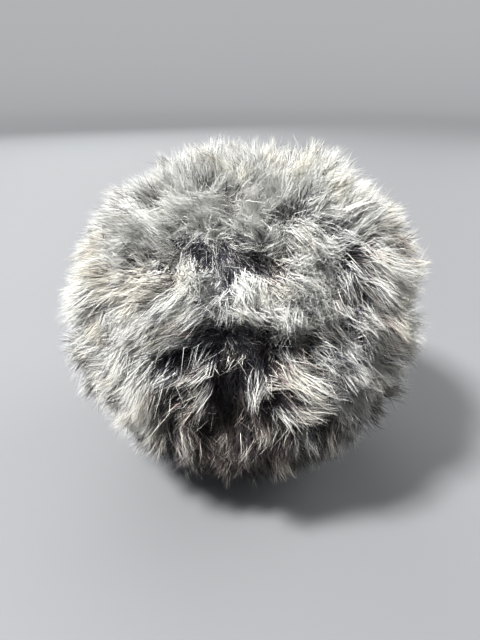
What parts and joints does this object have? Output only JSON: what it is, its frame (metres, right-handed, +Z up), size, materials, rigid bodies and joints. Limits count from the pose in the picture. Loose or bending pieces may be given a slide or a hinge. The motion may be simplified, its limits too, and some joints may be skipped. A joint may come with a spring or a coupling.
{
  "type": "faux fur pom-pom",
  "caption": "Round faux fur pom-pom: a ball of fur cloth with frosted grey pile standing in locks, dark at the roots, pressed short underneath where it rests.",
  "frame": {"origin": "middle of the ball's footprint, on the surface that it rests on", "axes": "+Z up; -Y towards the viewer of the pictured side, and +X to that viewer's right"},
  "size_m": [0.102, 0.1, 0.092],
  "materials": {
    "fur": "frosted grey pile with dark roots"
  },
  "bodies": {
    "root": {"fur_ball": "fur"}
  },
  "joints": []
}
